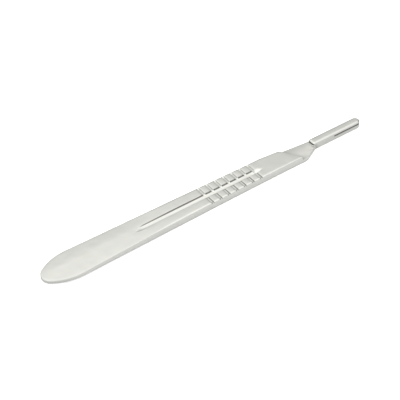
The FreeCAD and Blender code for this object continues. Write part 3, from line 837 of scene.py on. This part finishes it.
def handle_rings(s):
    """Closed rings of points round the handle, one for each row, and the shares of painted shade and of
    painted highlight.
    """
    plan = Plan(s)
    body, seat, tang = stations(plan)
    body_top = body_rows(plan, body)
    seat_top = seat_rows(plan, seat)
    tang_top = tang_rows(plan, tang)
    # Painted shade on the oblique step's wall, and full painted shade on the tang's rear wall.
    step_wall = rows_between(body_top[0][-1], seat_top[0][0], STEP_WALL_SHARE)
    rear_wall = rows_between(seat_top[0][-1], tang_top[0][0], 1.0)
    parts = (body_top, step_wall, seat_top, rear_wall, tang_top)
    top = np.concatenate([points for points, _ in parts])
    top_shade, top_highlight = (np.concatenate([shares[kind] for _, shares in parts]) for kind in (0, 1))
    under, (under_shade, under_highlight) = under_rows(plan, body, seat, tang)

    is_tang = np.arange(len(top)) >= len(top) - len(tang[0])
    near_side, near_shade = side_wall(plan, top[:, 0], under[:, 0], is_tang)
    far_side, far_shade = side_wall(plan, top[:, -1], under[:, -1], is_tang)
    plain = np.zeros(far_shade.shape)
    rings = np.concatenate((top, far_side, under[:, ::-1], near_side[:, ::-1]), axis=1)
    shade_share = np.concatenate((top_shade, far_shade, under_shade[:, ::-1], near_shade[:, ::-1]), axis=1)
    highlight_share = np.concatenate((top_highlight, plain, under_highlight[:, ::-1], plain), axis=1)
    rings[:, :, 0] -= s.overall_length / 2
    rings[:, :, 2] += s.thickness / 2
    return rings, {"painted_shade": shade_share, "painted_highlight": highlight_share}


# Materials

WHITE = (1.0, 1.0, 1.0, 1.0)

# Noise stays mostly between these values.
NOISE_LOW = 0.3
NOISE_HIGH = 0.7


def add_node(tree, kind, settings=None, links=None):
    """A shader node with its settings, and its inputs, by name or number, as values or linked sockets."""
    node = tree.nodes.new(kind)
    for name, value in (settings or {}).items():
        setattr(node, name, value)
    for name, value in (links or {}).items():
        if isinstance(value, bpy.types.NodeSocket):
            tree.links.new(value, node.inputs[name])
        else:
            node.inputs[name].default_value = value
    return node


def new_material(name):
    """An empty node material and its tree."""
    material = bpy.data.materials.new(name)
    material.use_nodes = True
    material.node_tree.nodes.clear()
    return material, material.node_tree


def tumbled_stainless_steel(finish):
    """Stainless steel, milled, then tumbled with ceramic chips.

    That gives a satin sheen with fine random marks over shallow waves. The grain is drawn
    coarser than the real one, so that it shows. Its colour takes painted highlight and painted
    shade by the shares that the mesh carries.
    """
    material, tree = new_material("tumbled_stainless_steel")
    coordinates = add_node(tree, "ShaderNodeTexCoord")
    noises = []
    for size, detail, harshness in (
        (finish.grain, 3.0, 0.6),
        (finish.waves, 1.0, 0.5),
        (finish.clouds, 2.0, 0.5),
    ):
        noise = add_node(tree, "ShaderNodeTexNoise", {"noise_dimensions": "3D"}, {
            "Vector": coordinates.outputs["Object"],
            "Scale": 1 / size, "Detail": detail, "Roughness": harshness})
        noises.append(noise.outputs["Fac"])
    marks, waves, clouds = noises
    waviness = add_node(tree, "ShaderNodeBump", None, {
        "Height": waves, "Strength": 1.0, "Distance": finish.wave_height})
    bump = add_node(tree, "ShaderNodeBump", None, {
        "Height": marks, "Strength": 0.25, "Distance": finish.grain_height,
        "Normal": waviness.outputs["Normal"]})
    roughness = add_node(tree, "ShaderNodeMapRange", None, {
        "Value": clouds, "From Min": NOISE_LOW, "From Max": NOISE_HIGH,
        "To Min": finish.roughness - finish.roughness_spread,
        "To Max": finish.roughness + finish.roughness_spread})
    colour = finish.colour
    # Mixes in the painted highlight, then the painted shade, by the shares that each point of the mesh
    # carries.
    for name, other in (("painted_highlight", finish.highlight_paint_colour), ("painted_shade", finish.shade_paint_colour)):
        share = add_node(tree, "ShaderNodeAttribute", {"attribute_name": name})
        mix = add_node(tree, "ShaderNodeMix", {"data_type": "RGBA"}, {
            "Factor": share.outputs["Fac"], 6: colour, 7: other})
        colour = mix.outputs[2]
    shader = add_node(tree, "ShaderNodeBsdfPrincipled", None, {
        "Base Color": colour, "Metallic": 1.0, "Roughness": roughness.outputs["Result"],
        "Normal": bump.outputs["Normal"]})
    add_node(tree, "ShaderNodeOutputMaterial", None, {"Surface": shader.outputs["BSDF"]})
    return material


def white_laminate(studio):
    """Matt white laminate: pale enough to leave only a faint shadow.

    It glows to the camera alone, so that it looks white and throws no light on the handle.
    """
    material, tree = new_material("white_laminate")
    shader = add_node(tree, "ShaderNodeBsdfPrincipled", None, {
        "Base Color": studio.table_colour, "Roughness": 0.9, "Specular IOR Level": 0.1})
    glow = add_node(tree, "ShaderNodeEmission", None, {"Color": WHITE, "Strength": studio.table_glow})
    both = add_node(tree, "ShaderNodeAddShader", None, {
        0: shader.outputs["BSDF"], 1: glow.outputs["Emission"]})
    path = add_node(tree, "ShaderNodeLightPath")
    mix = add_node(tree, "ShaderNodeMixShader", None, {
        "Fac": path.outputs["Is Camera Ray"], 1: shader.outputs["BSDF"], 2: both.outputs["Shader"]})
    add_node(tree, "ShaderNodeOutputMaterial", None, {"Surface": mix.outputs["Shader"]})
    return material


# Meshes

def place_mesh(name, points, faces, shares):
    """A mesh object at the origin, with doubled points merged and its faces turned outwards."""
    mesh = bpy.data.meshes.new(name)
    mesh.from_pydata(points.reshape(-1, 3).tolist(), [], faces.tolist())
    for label, values in shares.items():
        attribute = mesh.attributes.new(label, "FLOAT", "POINT")
        attribute.data.foreach_set("value", values.ravel())
    work = bmesh.new()
    work.from_mesh(mesh)
    bmesh.ops.remove_doubles(work, verts=work.verts, dist=MERGE_DISTANCE)
    bmesh.ops.dissolve_degenerate(work, edges=work.edges, dist=MERGE_DISTANCE)
    bmesh.ops.recalc_face_normals(work, faces=work.faces)
    work.to_mesh(mesh)
    work.free()
    mesh.shade_smooth()
    piece = bpy.data.objects.new(name, mesh)
    bpy.context.scene.collection.objects.link(piece)
    return piece


def ring_faces(rows, points):
    """Quads between each ring and the next, closed round the ring."""
    index = np.arange(rows * points).reshape(rows, points)
    beside = np.roll(index, -1, axis=1)
    return np.stack((index[:-1], beside[:-1], beside[1:], index[1:]), axis=2).reshape(-1, 4)


# Edges between faces that meet at more than this stay sharp.
SHARP_ANGLE = math.radians(50)


class ScalpelHandle(bpy.types.Operator):
    """Make the handle's dense surface and its steel, and put it in place of the CAD solid"""
    bl_idname = "scalpel.handle"
    bl_label = "Handle"

    def execute(self, context):
        sizes = context.scene.scalpel_sizes
        rings, shares = handle_rings(sizes)
        piece = place_mesh("handle_surface", rings, ring_faces(*rings.shape[:2]), shares)
        piece.data.set_sharp_from_angle(angle=SHARP_ANGLE)
        piece.data.materials.append(tumbled_stainless_steel(context.scene.scalpel_finish))
        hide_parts("handle")
        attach(piece, "root")
        return {"FINISHED"}


# Studio

# Nearest and farthest distance that the camera sees, in metres
CLIP = (0.01, 10.0)


def aimed(name, data, place, target):
    """An object at a place, whose -Z axis points at the target."""
    thing = bpy.data.objects.new(name, data)
    thing.location = place
    thing.rotation_mode = "QUATERNION"
    thing.rotation_quaternion = (target - place).to_track_quat("-Z", "Y")
    bpy.context.scene.collection.objects.link(thing)
    return thing


def add_table(studio):
    """A square table under the handle."""
    half = studio.table_half_size
    corners = [(x * half, y * half, CAD_LOW[2]) for x, y in ((-1, -1), (1, -1), (1, 1), (-1, 1))]
    mesh = bpy.data.meshes.new("table")
    mesh.from_pydata(corners, [], [(0, 1, 2, 3)])
    mesh.materials.append(white_laminate(studio))
    table = bpy.data.objects.new("table", mesh)
    bpy.context.scene.collection.objects.link(table)


def heading(studio):
    """Level direction in which the camera looks."""
    return Vector((math.sin(studio.camera_azimuth), math.cos(studio.camera_azimuth), 0))


def add_camera(studio, sizes):
    """The camera, on a line that rises from its aim, and its lens."""
    data = bpy.data.cameras.new("camera")
    data.sensor_width = studio.sensor_width
    data.lens = studio.focal_length
    data.clip_start, data.clip_end = CLIP
    back = -heading(studio) * math.cos(studio.camera_elevation)
    back.z = math.sin(studio.camera_elevation)
    aim = Vector((studio.aim_along - sizes.overall_length / 2, studio.aim_across, 0))
    bpy.context.scene.camera = aimed("camera", data, aim + back * studio.camera_distance, aim)


def add_softbox(studio):
    """A square lamp overhead. The steel doesn't mirror it, because the tent stands in for it there."""
    lamp = bpy.data.lights.new("overhead_softbox", "AREA")
    lamp.shape = "SQUARE"
    lamp.size = studio.lamp_size
    lamp.energy = studio.lamp_power
    place = Vector((0, studio.lamp_offset, studio.lamp_height))
    aimed("overhead_softbox", lamp, place, Vector((0, 0, 0))).visible_glossy = False


# Strengths of the light tent, as places from 0 to 1 with the strength at each. Both sides go by
# height, from level to straight up, and the last one goes from left to right.
TENT_FAR_SIDE = (
    (0.0, 0.62), (0.45, 0.63), (0.60, 0.70), (0.68, 1.02), (0.76, 1.35), (0.92, 1.55), (1.0, 1.05))
TENT_CAMERA_SIDE = (
    (0.0, 0.60), (0.28, 0.70), (0.48, 1.10), (0.70, 1.35), (0.92, 1.50), (1.0, 1.00))
TENT_SIDEWAYS = ((0.10, 1.35), (0.45, 1.00), (0.78, 1.00), (0.97, 0.55))

# A ramp's colours stay below 1, so they hold strengths as shares of this one.
TENT_STRENGTH = 1.6

# Half the width, as a share of the way round, over which one side blends into the other
SIDE_BLEND = 0.25


def light_tent(studio):
    """White to the camera. The handle sees a light tent that is brightest high up.

    Its strength is a product of two: one goes by height, and blends from the camera's side to
    the far side, and the other goes from left to right.
    """
    world = bpy.data.worlds.new("light_tent")
    world.use_nodes = True
    tree = world.node_tree
    tree.nodes.clear()
    coordinates = add_node(tree, "ShaderNodeTexCoord")
    direction = coordinates.outputs["Generated"]
    parts = add_node(tree, "ShaderNodeSeparateXYZ", None, {"Vector": direction})
    height = parts.outputs["Z"]
    sideways = add_node(tree, "ShaderNodeMapRange", None, {"Value": parts.outputs["X"], "From Min": -1.0})
    levels = []
    for place, stops in (
        (height, TENT_FAR_SIDE),
        (height, TENT_CAMERA_SIDE),
        (sideways.outputs["Result"], TENT_SIDEWAYS),
    ):
        ramp = add_node(tree, "ShaderNodeValToRGB", None, {"Fac": place})
        elements = ramp.color_ramp.elements
        while len(elements) < len(stops):
            elements.new(1.0)
        for element, (position, strength) in zip(elements, stops):
            element.position = position
            element.color = (strength / TENT_STRENGTH,) * 3 + (1,)
        levels.append(ramp.outputs["Color"])
    toward = add_node(tree, "ShaderNodeVectorMath", {"operation": "DOT_PRODUCT"}, {
        0: direction, 1: heading(studio)})
    far = add_node(tree, "ShaderNodeMapRange", {"interpolation_type": "SMOOTHSTEP"}, {
        "Value": toward.outputs["Value"], "From Min": -SIDE_BLEND, "From Max": SIDE_BLEND})
    side = add_node(tree, "ShaderNodeMix", None, {
        "Factor": far.outputs["Result"], "A": levels[1], "B": levels[0]})
    tent = add_node(tree, "ShaderNodeMath", {"operation": "MULTIPLY"}, {
        0: side.outputs["Result"], 1: levels[2]})
    total = add_node(tree, "ShaderNodeMath", {"operation": "MULTIPLY"}, {
        0: tent.outputs["Value"], 1: TENT_STRENGTH ** 2})
    room = add_node(tree, "ShaderNodeBackground", None, {
        "Color": WHITE, "Strength": total.outputs["Value"]})
    plain = add_node(tree, "ShaderNodeBackground", None, {"Color": WHITE, "Strength": 1.0})
    path = add_node(tree, "ShaderNodeLightPath")
    mix = add_node(tree, "ShaderNodeMixShader", None, {
        "Fac": path.outputs["Is Camera Ray"], 1: room.outputs["Background"], 2: plain.outputs["Background"]})
    add_node(tree, "ShaderNodeOutputWorld", None, {"Surface": mix.outputs["Shader"]})
    return world


class ScalpelStudio(bpy.types.Operator):
    """Make the table, the light and the camera"""
    bl_idname = "scalpel.studio"
    bl_label = "Studio"

    def execute(self, context):
        scene = context.scene
        studio = scene.scalpel_studio
        add_table(studio)
        add_camera(studio, scene.scalpel_sizes)
        add_softbox(studio)
        scene.world = light_tent(studio)
        scene.view_settings.view_transform = "Standard"
        return {"FINISHED"}


class ScalpelPanel(bpy.types.Panel):
    """Sizes, finish and studio of the scalpel handle"""
    bl_idname = "VIEW3D_PT_scalpel"
    bl_label = "Scalpel handle"
    bl_space_type = "VIEW_3D"
    bl_region_type = "UI"
    bl_category = "Scalpel"

    def draw(self, context):
        layout = self.layout
        scene = context.scene
        for operator, groups in (
            (ScalpelHandle, (scene.scalpel_sizes, scene.scalpel_finish)),
            (ScalpelStudio, (scene.scalpel_studio,)),
        ):
            for group in groups:
                for name in group.bl_rna.properties.keys():
                    if name not in {"rna_type", "name"}:
                        layout.prop(group, name)
            layout.operator(operator.bl_idname)


CLASSES = (HandleSizes, SteelFinish, StudioSettings, ScalpelHandle, ScalpelStudio, ScalpelPanel)
GROUPS = {"scalpel_sizes": HandleSizes, "scalpel_finish": SteelFinish, "scalpel_studio": StudioSettings}


def register():
    for cls in CLASSES:
        bpy.utils.register_class(cls)
    for name, group in GROUPS.items():
        setattr(bpy.types.Scene, name, bpy.props.PointerProperty(type=group))


def unregister():
    for name in GROUPS:
        delattr(bpy.types.Scene, name)
    for cls in reversed(CLASSES):
        bpy.utils.unregister_class(cls)


def main():
    register()
    bpy.ops.scalpel.handle()
    bpy.ops.scalpel.studio()


if __name__ == "__main__":
    main()
